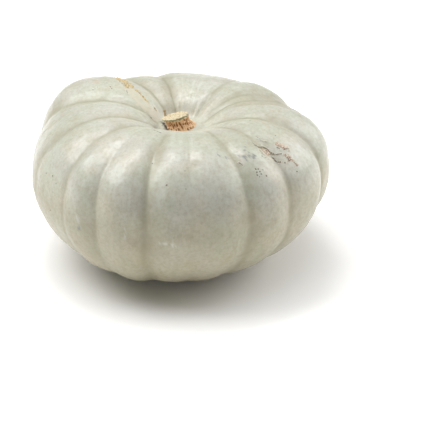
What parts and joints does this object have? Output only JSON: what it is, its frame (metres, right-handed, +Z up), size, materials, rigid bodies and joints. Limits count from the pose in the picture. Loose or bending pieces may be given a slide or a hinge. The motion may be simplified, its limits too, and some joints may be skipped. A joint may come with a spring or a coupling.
{
  "type": "pumpkin",
  "caption": "Whole grey ribbed squash, broad and low, with unequal lobes, a hollow crown and a dry corky stub of stem; rests on the undersides of its lobes.",
  "frame": {"origin": "on the surface that the squash rests on, under the middle of its bounding box", "axes": "+Z up out of the stem hollow; -Y is the front, the side with the faint groove below the stem; +X is to the right seen from the front"},
  "size_m": [0.267, 0.2704, 0.1484],
  "materials": {
    "rind": "satin",
    "cork": "matte"
  },
  "bodies": {
    "root": {"fruit": "rind", "stem": "cork"}
  },
  "joints": []
}
